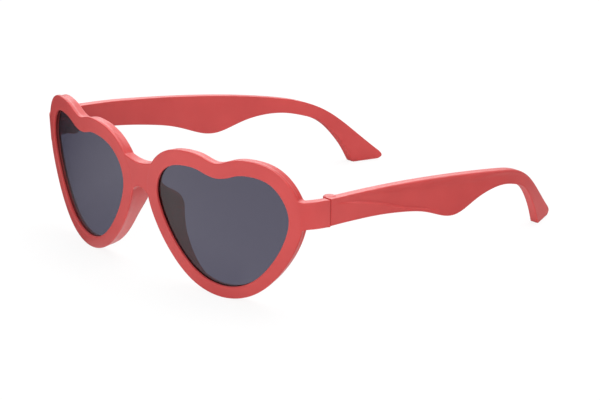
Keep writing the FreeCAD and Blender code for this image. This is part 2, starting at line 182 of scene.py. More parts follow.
class FrontSizes(bpy.types.PropertyGroup):
    """Sizes of the moulded front."""
    wrap_radius: length("Wrap radius", "Radius that the front's face is bent to", 143.5)
    tilt: angle("Tilt", "How far the top of the front leans forward", 3.9)
    heart_half_width: length("Heart half width", "Half the width of one rim", 27.5)
    lobe_height: length("Lobe height", "Height of the lobes over the middle line", 16.7)
    lobe_rise: length("Lobe rise", "How much higher the outer lobe stands", 1.0)
    point_depth: length("Point depth", "Depth of the point under the middle line", 26.1)
    middle_height: length("Middle line height", "Height of the middle line over the floor", 25.774)
    face_line: length("Face line", "Where the foremost line of the wrap stands", -64.196)
    rim_gap: length("Rim gap", "Gap between the two rims", 7.4)
    rim_width_top: length("Rim width, top", "Width of the rim at its lobes", 4.6)
    rim_width_bottom: length("Rim width, bottom", "Width of the rim at its point", 3.5)
    rim_depth: length("Rim depth", "Depth of the rim from face to back", 3.25)
    edge_round: length("Edge round", "Roundness of the rim's outer edges", 0.45)
    opening_round: length("Opening round", "Roundness of the opening's edge", 0.55)
    wall_line: length("Wall line", "Depth of the line round the rim's wall", 1.15)
    wall_step: length("Wall step", "Step of the rim's wall at that line", 0.32)
    nasal_shoulder: length("Nasal shoulder", "Extra fullness of a heart's shoulder by the bridge", 0.9)
    end_arch: length("End piece arch", "Rise of the end pieces half way round their bend", 0.35)
    junction_score: length("Junction score", "Depth of the line where bridge and end pieces begin", 0.12)
    bridge_top: length("Bridge top", "Height of the bridge's saddle", 8.3)
    bridge_arch: length("Bridge arch", "Height of the arch under the bridge", 1.05)
    bridge_root_low: length("Bridge root, low", "Lower end of the bridge's root on a rim", -1.2)
    bridge_root_high: length("Bridge root, high", "Upper end of the bridge's root on a rim", 9.4)
    bridge_start: length("Bridge start", "Distance of the bridge's first section from the rim", 0.35)
    bridge_thinning: length("Bridge thinning", "How much thinner than the rim the bridge is", 0.26)
    saddle_rise: length("Saddle rise", "Rise of the bridge's top at the saddle's reach", 1.1)
    saddle_reach: length("Saddle reach", "Distance from the middle where that rise is met", 6.1)
    arch_drop: length("Arch drop", "Drop of the bridge's arch at the arch's reach", 2.4)
    arch_reach: length("Arch reach", "Distance from the middle where that drop is met", 4.1)
    face_setback: length("Face setback", "How far bridge and end pieces lie behind the rims' face", 0.08)
    pad_blend: length("Pad blend", "Reach over which a rim's wall turns into a pad", 1.2)
    pad_reach: length("Pad reach", "How far back the nose pads reach", 10.1)
    pad_thickness: length("Pad thickness", "Thickness of a nose pad at its back edge", 2.1)
    pad_lean: angle("Pad lean", "How far the nose pads lean outwards", 21.5)
    end_top: length("End piece top", "Top of the end pieces over the middle line", 6.4)
    end_bottom: length("End piece bottom", "Bottom of the end pieces", -1.6)
    end_thickness: length("End piece thickness", "Thickness of the end pieces", 2.65)
    end_root: length("End piece root", "How far an end piece's root spreads on the rim", 0.5)
    end_flare: length("End piece flare", "Extra height of an end piece next to the rim", 0.6)
    end_overlap: length("End piece overlap", "How far the bend starts inside the heart's edge", 0.4)
    end_inset: length("End piece inset", "How far an end piece stands inside the temple's face", 0.1)
    seam_gap: length("Seam gap", "Gap between an end piece and its temple", 0.09)
    seam_ring: length("Seam ring", "Distance of the last ring from the seam", 0.35)


class LensSizes(bpy.types.PropertyGroup):
    """Sizes of the lenses and of the groove that holds them."""
    recess: length("Recess", "How far the groove lies behind the rim's face", 0.8)
    thickness: length("Thickness", "Thickness of the lens", 1.2)
    bite: length("Bite", "How far the lens edge reaches into the rim", 0.8)
    edge_room: length("Edge room", "Room round the lens edge", 0.1)
    face_room: length("Face room", "Room before and behind the lens edge", 0.04)


class TempleSizes(bpy.types.PropertyGroup):
    """Sizes of the temples and of their hinge knuckles."""
    length: length("Length", "Length of a temple", 109.5)
    convergence: length("Convergence", "How far a tip stands inside its hinge", 22.0)
    thickness: length("Thickness", "Thickness of a temple", 2.9)
    front_height: length("Front height", "Height of a temple at its hinge", 8.0)
    edge_round: length("Edge round", "Roundness of a temple's edges", 0.5)
    crown_round: length("Crown round", "Roundness of a temple's outer top edge towards its tip", 1.5)
    under_round: length("Under round", "Roundness of a temple's outer lower edge", 0.8)
    bead_step: length("Bead step", "How far the top edge stands out over the side", 0.5)
    panel_step: length("Panel step", "How far the moulded panel stands out under its line", 0.6)
    panel_ledge: length("Panel ledge", "Height of the slope out to the panel", 0.4)
    knuckle_radius: length("Knuckle radius", "Radius of the hinge barrel", 1.85)
    knuckle_gap: length("Knuckle gap", "Gap between two knuckles", 0.1)
    slot_room: length("Slot room", "Room round the front's knuckle", 0.15)
    flat_start: length("Flat start", "How far before the hinge axis a knuckle turns straight", 0.1)
    neck_length: length("Neck length", "How far the front's knuckle reaches into the end piece", 4.2)
    tongue_bore: length("Tongue bore", "Radius of the bore through the front's knuckle", 0.69)
    barrel_round: length("Barrel round", "Roundness of the hinge barrel's ends", 0.45)
    insert_bore: length("Insert bore", "Radius of the room for a hinge insert", 1.16)
    insert_room: length("Insert room", "Room over the screw's end", 0.11)
    shank_bore: length("Shank bore", "Radius of the bore for the screw's shank", 0.67)
    head_bore: length("Head bore", "Radius of the counterbore for the screw's head", 1.15)
    head_depth: length("Head depth", "Depth of that counterbore", 0.85)
    heel_height: length("Heel height", "Height of the tip's heel over the floor", 0.4)
    heel_bulge: length("Heel bulge", "How far the back of the tip bulges over its heel", 0.15)


class Finishes(bpy.types.PropertyGroup):
    """Colours of the materials."""
    plastic: colour("Plastic", "Moulded red plastic", (0.56, 0.058, 0.055, 1))
    plastic_deep: colour("Plastic, deep", "Where the red is a little deeper", (0.50, 0.047, 0.046, 1))
    smoke: colour("Smoke", "Tint of the lenses", (0.078, 0.074, 0.116, 1))
    smoke_deep: colour("Smoke, deep", "Tint of the lenses near their top", (0.068, 0.063, 0.100, 1))
    steel: colour("Steel", "Hinge screws", (0.60, 0.60, 0.62, 1))
    brass: colour("Brass", "Hinge inserts", (0.76, 0.58, 0.27, 1))


# Curves

class Spline:
    """A curve of continuous bend through points, read by shares of its length."""

    def __init__(self, points, closed=False):
        points = np.array(points, float)
        self.points = np.vstack([points, points[:1]]) if closed else points
        self.steps = np.linalg.norm(np.diff(self.points, axis=0), axis=1)
        self.knots = np.concatenate([[0], np.cumsum(self.steps)])
        self.shares = self.knots / self.knots[-1]
        self.bends = self.solve(closed)

    def solve(self, closed):
        """Second derivatives at the points."""
        points, steps = self.points, self.steps
        count = len(points)
        slopes = np.diff(points, axis=0) / steps[:, None]
        matrix = np.eye(count)
        right = np.zeros_like(points)
        for index in range(1, count - 1):
            before, after = steps[index - 1], steps[index]
            matrix[index, index - 1:index + 2] = before, 2 * (before + after), after
            right[index] = 6 * (slopes[index] - slopes[index - 1])
        if closed:
            matrix[0, -1] = -1
            matrix[-1] = 0
            matrix[-1, [0, 1, -2]] = 2 * steps[0], steps[0], steps[-1]
            matrix[-1, -1] = 2 * steps[-1]
            right[-1] = 6 * (slopes[0] - slopes[-1])
        return np.linalg.solve(matrix, right)

    def at(self, share):
        """The point at a share of the length."""
        place = share * self.knots[-1]
        index = int(np.clip(np.searchsorted(self.knots, place, side="right") - 1, 0, len(self.steps) - 1))
        step = self.steps[index]
        after = (place - self.knots[index]) / step
        before = 1 - after
        straight = before * self.points[index] + after * self.points[index + 1]
        bent = (before ** 3 - before) * self.bends[index] + (after ** 3 - after) * self.bends[index + 1]
        return straight + bent * step ** 2 / 6

    def along(self, share):
        """Unit direction."""
        reach = 1e-5
        step = self.at(share + reach) - self.at(share - reach)
        return step / np.linalg.norm(step)

    def find(self, axis, value, low, high):
        """The share between low and high where one coordinate has a value."""
        rising = self.at(high)[axis] > self.at(low)[axis]
        for _ in range(40):
            middle = (low + high) / 2
            if (self.at(middle)[axis] < value) == rising:
                low = middle
            else:
                high = middle
        return low


def spread(start, end, shares):
    """Places between start and end, without the end."""
    return [start + (end - start) * share for share in shares]


def even(count):
    """Evenly spaced shares from zero, without the end."""
    return [index / count for index in range(count)]


def smooth_step(value, start, end):
    """A share that eases from zero at the start to one at the end."""
    share = min(max((value - start) / (end - start), 0), 1)
    return share * share * (3 - 2 * share)


# Meshes

def loft(bm, rows, columns, place):
    """Extrude a ring of vertices from row to row, and put each vertex in its place."""
    row_of = bm.verts.layers.int.new("row")
    column_of = bm.verts.layers.int.new("column")
    bm.edges.layers.float.new("crease_edge")
    verts = bmesh.ops.create_circle(bm, segments=columns, radius=MM)["verts"]
    for index, vert in enumerate(verts):
        vert[column_of] = index
    for row in range(rows):
        if row:
            made = bmesh.ops.extrude_edge_only(bm, edges=ring_edges(verts))["geom"]
            verts = [item for item in made if isinstance(item, bmesh.types.BMVert)]
        for vert in verts:
            vert[row_of] = row
            vert.co = place(row, vert[column_of])
    return row_of, column_of


def ring_edges(verts):
    """The edges that join vertices of one ring."""
    inside = set(verts)
    edges = {edge for vert in verts for edge in vert.link_edges}
    return [edge for edge in edges if set(edge.verts) <= inside]


def crease(bm, edges, value):
    """Keep edges sharp, or partly so, under a subdivision surface."""
    layer = bm.edges.layers.float["crease_edge"]
    for edge in edges:
        edge[layer] = value


def finished(name, bm, material):
    """An object from a closed mesh, with smooth faces that point outwards."""
    bmesh.ops.recalc_face_normals(bm, faces=bm.faces)
    mesh = bpy.data.meshes.new(name)
    bm.to_mesh(mesh)
    bm.free()
    mesh.shade_smooth()
    mesh.materials.append(material)
    piece = bpy.data.objects.new(name, mesh)
    bpy.context.scene.collection.objects.link(piece)
    return piece


def subdivide(piece, levels):
    """Finish a piece with a subdivision surface."""
    modifier = piece.modifiers.new("Subdivision", "SUBSURF")
    modifier.levels = levels
    modifier.render_levels = levels


def apply_modifiers(piece):
    """Turn a piece's modifiers into its mesh."""
    bpy.context.view_layer.update()
    mesh = bpy.data.meshes.new_from_object(piece.evaluated_get(bpy.context.evaluated_depsgraph_get()))
    piece.modifiers.clear()
    old = piece.data
    piece.data = mesh
    bpy.data.meshes.remove(old)


def carve(piece, tool, operation):
    """Join a tool shape to a piece, or cut it away."""
    modifier = piece.modifiers.new("Carve", "BOOLEAN")
    modifier.operation = operation
    modifier.solver = "EXACT"
    modifier.object = tool
    apply_modifiers(piece)
    mesh = tool.data
    bpy.data.objects.remove(tool)
    bpy.data.meshes.remove(mesh)


def cylinder(bm, x, y, bottom, top, radius, segments=48):
    """A closed upright cylinder."""
    made = bmesh.ops.create_cone(
        bm, cap_ends=True, segments=segments, radius1=radius, radius2=radius, depth=top - bottom)
    bmesh.ops.translate(bm, verts=made["verts"], vec=(x, y, (bottom + top) / 2))
    return made["verts"]


def mirrored(piece, name):
    """A copy for the wearer's other side."""
    bm = bmesh.new()
    bm.from_mesh(piece.data)
    bmesh.ops.scale(bm, verts=bm.verts, vec=(-1, 1, 1))
    bmesh.ops.reverse_faces(bm, faces=bm.faces)
    mesh = piece.data.copy()
    mesh.name = name
    bm.to_mesh(mesh)
    bm.free()
    copy = bpy.data.objects.new(name, mesh)
    bpy.context.scene.collection.objects.link(copy)
    return copy


# Shader nodes

def fill(tree, made, inputs):
    """Give a node's inputs their values, or link them to other nodes' outputs."""
    for name, value in inputs.items():
        if isinstance(value, bpy.types.NodeSocket):
            tree.links.new(value, made.inputs[name])
        else:
            made.inputs[name].default_value = value


def node(tree, kind, inputs=(), **settings):
    """One node with its settings and its inputs."""
    made = tree.nodes.new(kind)
    for name, value in settings.items():
        setattr(made, name, value)
    fill(tree, made, dict(inputs))
    return made


def maths(tree, operation, *values, **settings):
    """The result of a Math node on up to three values."""
    return node(tree, "ShaderNodeMath", dict(enumerate(values)), operation=operation, **settings).outputs[0]


def between(tree, factor, first, second, **settings):
    """A colour between two, mixed by a factor."""
    inputs = {"Factor": factor, "A": first, "B": second}
    return node(tree, "ShaderNodeMix", inputs, data_type="RGBA", **settings).outputs["Result"]


def object_place(tree):
    """Where a point lies on its piece."""
    return node(tree, "ShaderNodeTexCoord").outputs["Object"]


def new_group(name, inputs, outputs):
    """An empty node group with named sockets."""
    tree = bpy.data.node_groups.new(name, "ShaderNodeTree")
    for label, kind, value in inputs:
        socket = tree.interface.new_socket(label, in_out="INPUT", socket_type=kind)
        socket.default_value = value
    for label, kind in outputs:
        tree.interface.new_socket(label, in_out="OUTPUT", socket_type=kind)
    return tree, tree.nodes.new("NodeGroupInput"), tree.nodes.new("NodeGroupOutput")


def moulded_grain():
    """The fine spark-eroded skin of a moulding: tone, roughness and height."""
    name = "Moulded grain"
    if name in bpy.data.node_groups:
        return bpy.data.node_groups[name]
    tree, given, out = new_group(
        name,
        [("Colour", "NodeSocketColor", (1, 1, 1, 1)), ("Deep colour", "NodeSocketColor", (1, 1, 1, 1)),
         ("Roughness", "NodeSocketFloat", 0.4), ("Grain size", "NodeSocketFloat", 3000.0)],
        [("Colour", "NodeSocketColor"), ("Roughness", "NodeSocketFloat"), ("Height", "NodeSocketFloat")])
    given = given.outputs
    place = object_place(tree)
    flow = node(tree, "ShaderNodeTexNoise", {
        "Vector": place, "Scale": 55.0, "Detail": 4.0, "Roughness": 0.55})
    grain = node(tree, "ShaderNodeTexNoise", {
        "Vector": place, "Scale": given["Grain size"], "Detail": 3.0, "Roughness": 0.6})
    spots = node(tree, "ShaderNodeTexVoronoi", {
        "Vector": place, "Scale": given["Grain size"], "Randomness": 1.0})
    tone = node(tree, "ShaderNodeMapRange", {"Value": flow.outputs["Fac"], "From Min": 0.3, "From Max": 0.7})
    speck = node(tree, "ShaderNodeMapRange", {
        "Value": grain.outputs["Fac"], "From Min": 0.3, "From Max": 0.7, "To Min": -0.05, "To Max": 0.05})
    fill(tree, out, {
        "Colour": between(tree, tone.outputs["Result"], given["Colour"], given["Deep colour"]),
        "Roughness": maths(tree, "ADD", given["Roughness"], speck.outputs["Result"]),
        "Height": maths(tree, "MULTIPLY_ADD", spots.outputs["Distance"], 0.4, grain.outputs["Fac"])})
    return tree


def turned_rings():
    """Fine lathe marks round the hinge axes."""
    name = "Turned rings"
    if name in bpy.data.node_groups:
        return bpy.data.node_groups[name]
    tree, given, out = new_group(
        name,
        [("Roughness", "NodeSocketFloat", 0.3), ("Ring pitch", "NodeSocketFloat", 5000.0)],
        [("Roughness", "NodeSocketFloat"), ("Height", "NodeSocketFloat")])
    fold = node(tree, "ShaderNodeVectorMath", {0: object_place(tree)}, operation="ABSOLUTE")
    centre = node(tree, "ShaderNodeMapping", {
        "Vector": fold.outputs["Vector"], "Location": (-HINGE_X, HINGE_Y, 0)})
    waves = node(tree, "ShaderNodeTexWave", {
        "Vector": centre.outputs["Vector"], "Scale": given.outputs["Ring pitch"], "Distortion": 0.4},
        wave_type="RINGS", rings_direction="Z")
    fill(tree, out, {
        "Roughness": maths(tree, "MULTIPLY_ADD", waves.outputs["Fac"], 0.12, given.outputs["Roughness"]),
        "Height": waves.outputs["Fac"]})
    return tree


def new_material(name):
    """A material with a Principled shader, and its tree."""
    material = bpy.data.materials.new(name)
    material.use_nodes = True
    return material, material.node_tree, material.node_tree.nodes["Principled BSDF"]


def red_plastic():
    """Satin moulded plastic with a fine grain, a little light passing into it."""
    name = "Red plastic"
    if name in bpy.data.materials:
        return bpy.data.materials[name]
    colours = bpy.context.scene.glasses_finishes
    material, tree, shader = new_material(name)
    skin = node(tree, "ShaderNodeGroup", node_tree=moulded_grain())
    fill(tree, skin, {
        "Colour": colours.plastic, "Deep colour": colours.plastic_deep,
        "Roughness": 0.38, "Grain size": 3200.0})
    bump = node(tree, "ShaderNodeBump", {
        "Height": skin.outputs["Height"], "Strength": 0.07, "Distance": 0.04 * MM})
    fill(tree, shader, {
        "Base Color": skin.outputs["Colour"], "Roughness": skin.outputs["Roughness"],
        "Normal": bump.outputs["Normal"], "IOR": 1.47, "Subsurface Weight": 0.12,
        "Subsurface Radius": (1.0, 0.35, 0.3), "Subsurface Scale": 0.9 * MM})
    return material


def smoke_lens():
    """Polished plastic, smoke tinted, a little deeper towards its top and in faint clouds."""
    colours = bpy.context.scene.glasses_finishes
    material, tree, shader = new_material("Smoke lens")
    place = object_place(tree)
    parts = node(tree, "ShaderNodeSeparateXYZ", {0: place})
    fall = node(tree, "ShaderNodeMapRange", {
        "Value": parts.outputs["Z"], "From Min": 3 * MM, "From Max": 40 * MM})
    cloud = node(tree, "ShaderNodeTexNoise", {"Vector": place, "Scale": 40.0, "Detail": 2.0})
    deep = maths(tree, "MULTIPLY_ADD", cloud.outputs["Fac"], 0.2, fall.outputs["Result"])
    fill(tree, shader, {
        "Base Color": between(tree, deep, colours.smoke, colours.smoke_deep),
        "Roughness": 0.02, "IOR": 1.5, "Transmission Weight": 1.0})
    return material


def turned_metal(name, tint, roughness):
    """Small turned hardware."""
    material, tree, shader = new_material(name)
    rings = node(tree, "ShaderNodeGroup", node_tree=turned_rings())
    fill(tree, rings, {"Roughness": roughness, "Ring pitch": 5200.0})
    bump = node(tree, "ShaderNodeBump", {
        "Height": rings.outputs["Height"], "Strength": 0.2, "Distance": 0.02 * MM})
    patina = node(tree, "ShaderNodeTexNoise", {"Vector": object_place(tree), "Scale": 900.0, "Detail": 3.0})
    dull = (0.82, 0.80, 0.78, 1)
    fill(tree, shader, {
        "Base Color": between(tree, patina.outputs["Fac"], tint, dull, blend_type="MULTIPLY"),
        "Roughness": rings.outputs["Roughness"], "Normal": bump.outputs["Normal"], "Metallic": 1.0})
    return material


# Hearts

def heart_outline(sizes):
    """The rim's outside, clockwise from the notch, in the plane that touches the wrap."""
    points = []
    for side, shares in ((1, HEART_SHARES), (-1, HEART_SHARES[-2:0:-1])):
        for across, up in shares:
            height = sizes.lobe_height if up > 0 else sizes.point_depth
            rise = sizes.lobe_rise * side * across * max(up, 0)
            full = sizes.nasal_shoulder * across * max(up, 0) if side < 0 else 0
            points.append((
                side * across * (sizes.heart_half_width + full),
                up * (height + full / 2) + rise))
    return Spline(points, closed=True)


def inward(outline, share):
    """Unit direction from the outline into the lens."""
    along = outline.along(share)
    return np.array([along[1], -along[0]])


def rim_width(sizes, height):
    """The rim narrows from its lobes to its point."""
    share = (height + sizes.point_depth) / (sizes.lobe_height + sizes.point_depth)
    return sizes.rim_width_bottom + (sizes.rim_width_top - sizes.rim_width_bottom) * share


def wrap_back(sizes, across, depth):
    """How far back the wrapped layer at a depth lies, at a distance across one heart."""
    return sizes.wrap_radius - math.sqrt((sizes.wrap_radius - depth) ** 2 - across ** 2)


def stand(sizes, x, y, z):
    """From the untilted front to the shared frame."""
    cos, sin = math.cos(sizes.tilt), math.sin(sizes.tilt)
    return Vector((x, y * cos - z * sin + sizes.face_line, y * sin + z * cos + sizes.middle_height))


def heart_place(sizes, across, back, up):
    """From a heart's own plane to the shared frame, at the wearer's left eye."""
    turn = (sizes.heart_half_width + sizes.rim_gap / 2) / sizes.wrap_radius
    away = sizes.wrap_radius - back
    x = across * math.cos(turn) + away * math.sin(turn)
    y = sizes.wrap_radius + across * math.sin(turn) - away * math.cos(turn)
    return stand(sizes, x, y, up)


def eased(points, closed):
    """Control points whose subdivided line runs through the points given."""
    points = np.array(points, float)
    before, after = np.roll(points, 1, 0), np.roll(points, -1, 0)
    bend = before - 2 * points + after
    along = after - before
    along /= np.linalg.norm(along, axis=1)[:, None]
    moved = points - (bend - along * np.sum(bend * along, axis=1)[:, None]) / 6
    if not closed:
        moved[[0, -1]] = points[[0, -1]]
    return moved


def rim_columns(sizes, outline):
    """Places of the rim's cross sections, and the columns of its end piece and its bridge."""
    point = outline.shares[len(HEART_SHARES) - 1]
    lobe, shoulder = outline.shares[2], outline.shares[-3]
    end_top = outline.find(1, sizes.end_top + sizes.end_root, lobe, point)
    end_bottom = outline.find(1, sizes.end_bottom - sizes.end_root, lobe, point)
    bridge_bottom = outline.find(1, sizes.bridge_root_low, point, shoulder)
    bridge_top = outline.find(1, sizes.bridge_root_high, point, shoulder)
    after_branch = [0, AFTER_BRANCH_SHARE] + even(RIM_STEPS)[1:]
    places = spread(0, end_top, even(RIM_STEPS) + [BEFORE_END_SHARE])
    end_first = len(places)
    places += spread(end_top, end_bottom, BRANCH_SHARES[:-1])
    places += spread(end_bottom, point, after_branch)
    places += spread(point, bridge_bottom, even(NASAL_STEPS) + [BEFORE_BRIDGE_SHARE])
    bridge_first = len(places)
    places += spread(bridge_bottom, bridge_top, BRANCH_SHARES[:-1])
    places += spread(bridge_top, 1, after_branch)
    return places, end_first, bridge_first


def rim_section(sizes, lens, width):
    """The rim's cross section: inset from the outline, depth behind the face."""
    depth, edge, line, step = sizes.rim_depth, sizes.edge_round, sizes.wall_line, sizes.wall_step
    groove = width - lens.bite - lens.edge_room
    groove_back = lens.recess + lens.thickness + 2 * lens.face_room
    return [
        (0, 0),
        (edge, 0),
        (width - sizes.opening_round, 0),
        (width, 0),
        (width, sizes.opening_round),
        (width, lens.recess),
        (groove, lens.recess),
        (groove, groove_back),
        (width, groove_back),
        (width, depth),
        *[(width * share, depth) for share in RIM_BACK_SHARES],
        (step, depth),
        (step, depth - edge),
        (step, line + step / 2),
        (0, line - step / 2),
        (0, edge),
    ]


def pad_section(sizes, section, reach, up_share):
    """The same section with its wall and back drawn out to a nose pad, straighter at its lower end."""
    leaning = PAD_LOW_LEAN_SHARE + (1 - PAD_LOW_LEAN_SHARE) * smooth_step(up_share, *PAD_LEAN_RANGE_SHARES)
    lean = math.tan(sizes.pad_lean) * leaning
    drawn = list(section)
    for row, share in PAD_WALL_SHARES:
        drawn[row] = (lean * reach * share, reach * share)
    for row, across, behind in PAD_BACK_SHARES:
        drawn[row] = (lean * reach + across * sizes.pad_thickness, reach + behind * sizes.pad_thickness)
    drawn[PAD_FOOT_ROW] = (lean * sizes.rim_depth + PAD_FOOT_SHARE * sizes.pad_thickness, sizes.rim_depth)
    share = smooth_step(reach, sizes.rim_depth, sizes.rim_depth + sizes.pad_blend)
    return [
        (inset + (drawn_inset - inset) * share, depth + (drawn_depth - depth) * share)
        for (inset, depth), (drawn_inset, drawn_depth) in zip(section, drawn)]


def rim_table(sizes, lens, outline, places):
    """The place of each row and column of the left rim."""
    points = [outline.at(place) for place in places]
    inwards = [inward(outline, place) for place in places]
    low, reach = zip(*[(up * sizes.point_depth, share * sizes.pad_reach) for up, share in PAD_SHARES])
    sections = []
    for across, up in points:
        section = rim_section(sizes, lens, rim_width(sizes, up))
        if across < 0:
            section = pad_section(sizes, section, float(np.interp(up, low, reach)), up / sizes.point_depth)
        sections.append(section)
    table = []
    for row in range(len(sections[0])):
        flat = [point + way * section[row][0] for point, way, section in zip(points, inwards, sections)]
        table.append([
            heart_place(sizes, across, wrap_back(sizes, across, section[row][1]), up)
            for (across, up), section in zip(eased(flat, True), sections)])
    return table


# Front

def branch_out(bm, faces, stations, place, layers):
    """Extrude a patch of the rim's wall from station to station; the last faces are given back."""
    for station in range(stations):
        made = bmesh.ops.extrude_face_region(bm, geom=faces)["geom"]
        bmesh.ops.delete(bm, geom=[face for face in faces if face.is_valid], context="FACES")
        faces = [item for item in made if isinstance(item, bmesh.types.BMFace)]
        for vert in {vert for face in faces for vert in face.verts}:
            vert.co = place(station, WALL_SHARES[vert[layers[0]]], vert[layers[1]])
    return faces


def wall_patch(bm, layers, first):
    """The faces of the rim's outer wall that a branch grows from."""
    columns = range(first, first + len(BRANCH_SHARES))
    return [
        face for face in bm.faces
        if all(vert[layers[0]] in WALL_SHARES and vert[layers[1]] in columns for vert in face.verts)]


def end_stations(sizes):
    """The end piece from above, in the untilted front: outer and inner points round its bend."""
    spacing = sizes.heart_half_width + sizes.rim_gap / 2
    turn = (spacing + sizes.heart_half_width - sizes.end_overlap) / sizes.wrap_radius
    radius = sizes.wrap_radius - sizes.face_setback
    outside = TEMPLE_BOX[1].x - sizes.end_inset
    bend = (outside - radius * math.sin(turn)) / (1 - math.sin(turn))
    centre = (outside - bend, sizes.wrap_radius - (radius - bend) * math.cos(turn))
    stations = []
    for angle_share in END_BEND_SHARES:
        way = turn + (math.pi / 2 - turn) * angle_share
        stations.append([
            (centre[0] + reach * math.sin(way), centre[1] - reach * math.cos(way))
            for reach in (bend, bend - sizes.end_thickness)])
    return stations


def add_end_piece(bm, sizes, layers, first):
    """Grow the end piece from the rim, round its bend to the hinge."""
    stations = end_stations(sizes)
    seam = TEMPLE_BOX[0].y - sizes.seam_gap

    def place(station, depth_share, column):
        up_share = BRANCH_SHARES[column - first]
        up = sizes.end_top + (sizes.end_bottom - sizes.end_top) * up_share
        up += sizes.end_arch * math.sin(math.pi * min(station / len(stations), 1))
        if station == 0:
            up += (0.5 - up_share) * sizes.end_flare
        outer, inner = stations[min(station, len(stations) - 1)]
        x, y = (a + (b - a) * depth_share for a, b in zip(outer, inner))
        spot = stand(sizes, x, y, up)
        if station >= len(stations):
            spot.y = seam - (sizes.seam_ring if station == len(stations) else 0)
        return spot

    faces = wall_patch(bm, layers, first)
    branch_out(bm, faces, len(stations) + 2, place, layers)


def add_bridge(bm, sizes, layers, first, root):
    """Grow half of the bridge from the rim's front edge to the middle, and leave it open there."""

    def place(station, depth_share, column):
        edge = root[column].x
        x = (edge - sizes.bridge_start, edge / 2, 0)[station]
        up_share = BRANCH_SHARES[column - first]
        top = sizes.bridge_top + sizes.saddle_rise * (x / sizes.saddle_reach) ** 2
        bottom = sizes.bridge_arch - sizes.arch_drop * (x / sizes.arch_reach) ** 2
        depth = sizes.face_setback + (sizes.rim_depth - sizes.bridge_thinning) * depth_share
        return stand(sizes, x, wrap_back(sizes, x, depth), bottom + (top - bottom) * up_share)

    faces = branch_out(bm, wall_patch(bm, layers, first), 3, place, layers)
    bmesh.ops.delete(bm, geom=faces, context="FACES")


def add_tongue(bm, temple):
    """The knuckle behind the end piece, which sits between the temple's two."""
    bottom, top = tongue_heights(temple)
    neck = TEMPLE_BOX[0].y - temple.neck_length
    rings = []
    for radius in (temple.knuckle_radius, temple.tongue_bore):
        verts = bmesh.ops.create_circle(bm, segments=KNUCKLE_SEGMENTS, radius=radius)["verts"]
        for vert in verts:
            vert.co += Vector((HINGE_X, HINGE_Y, bottom))
            if radius == temple.knuckle_radius and vert.co.y < HINGE_Y - temple.flat_start:
                vert.co.y = neck
        rings += ring_edges(verts)
    floor = bmesh.ops.bridge_loops(bm, edges=rings)["faces"]
    made = bmesh.ops.extrude_face_region(bm, geom=floor)["geom"]
    roof = [item for item in made if isinstance(item, bmesh.types.BMVert)]
    bmesh.ops.translate(bm, verts=roof, vec=(0, 0, top - bottom))
    edges = {edge for vert in roof for edge in vert.link_edges if len(edge.link_faces) == 2}
    crease(bm, [edge for edge in edges if edge.calc_face_angle(0) > 1], 1.0)
    crease(bm, [edge for edge in rings if edge.is_valid], 1.0)


def build_front():
    """The whole front, made as its left half and mirrored."""
    scene = bpy.context.scene
    sizes, lens, temple = scene.glasses_front, scene.glasses_lens, scene.glasses_temple
    outline = heart_outline(sizes)
    places, end_first, bridge_first = rim_columns(sizes, outline)
    table = rim_table(sizes, lens, outline, places)
    bm = bmesh.new()
    layers = loft(bm, len(table), len(places), lambda row, column: table[row][column])
    ends = [vert for vert in bm.verts if vert[layers[0]] in (0, len(table) - 1)]
    bmesh.ops.bridge_loops(bm, edges=ring_edges(ends))
    groove = [edge for edge in bm.edges if all(vert[layers[0]] in GROOVE_ROWS for vert in edge.verts)]
    crease(bm, [edge for edge in groove if edge.verts[0][layers[0]] == edge.verts[1][layers[0]]], 1.0)
    for first in (end_first, bridge_first):
        for column in range(first, first + len(BRANCH_SHARES)):
            score = [vert for vert in bm.verts if vert[layers[0]] == 0 and vert[layers[1]] == column]
            bmesh.ops.translate(bm, verts=score, vec=(0, sizes.junction_score, 0))
    add_end_piece(bm, sizes, layers, end_first)
    add_bridge(bm, sizes, layers, bridge_first, table[0])
    add_tongue(bm, temple)
    bmesh.ops.mirror(bm, geom=bm.verts[:] + bm.edges[:] + bm.faces[:], axis="X", merge_dist=MERGE_DISTANCE)
    piece = finished("heart_front", bm, red_plastic())
    subdivide(piece, 2)
    return piece


# Lenses

def build_lens():
    """The left lens, a curved sheet whose edge sits in the rim's groove."""
    scene = bpy.context.scene
    sizes, lens = scene.glasses_front, scene.glasses_lens
    outline = heart_outline(sizes)
    edge = []
    for share in even(LENS_COLUMNS):
        point = outline.at(share)
        edge.append(point + inward(outline, share) * (rim_width(sizes, point[1]) - lens.bite))
    middle = np.mean(edge, 0)
    rows = [(share, 0) for share in LENS_SHARES] + [(share, 1) for share in reversed(LENS_SHARES)]

    def place(row, column):
        share, behind = rows[row]
        across, up = middle + (edge[column] - middle) * share
        depth = lens.recess + lens.face_room + lens.thickness * behind
        return heart_place(sizes, across, wrap_back(sizes, across, depth), up)

    bm = bmesh.new()
    row_of, _ = loft(bm, len(rows), LENS_COLUMNS, place)
    for end in (0, len(rows) - 1):
        inner = [vert for vert in bm.verts if vert[row_of] == end]
        centre = sum((vert.co for vert in inner), Vector()) / len(inner)
        made = bmesh.ops.extrude_edge_only(bm, edges=ring_edges(inner))["geom"]
        tip = [item for item in made if isinstance(item, bmesh.types.BMVert)]
        bmesh.ops.pointmerge(bm, verts=tip, merge_co=centre)
    piece = finished("left_smoke_lens", bm, smoke_lens())
    piece.data.set_sharp_from_angle(angle=LENS_SHARP_ANGLE)
    return piece


# Temples

def tongue_heights(temple):
    """Bottom and top of the front's knuckle."""
    foot = TEMPLE_BOX[1].z - temple.front_height
    height = (temple.front_height - 2 * temple.knuckle_gap) / 3
    return foot + height + temple.knuckle_gap, foot + 2 * height + temple.knuckle_gap


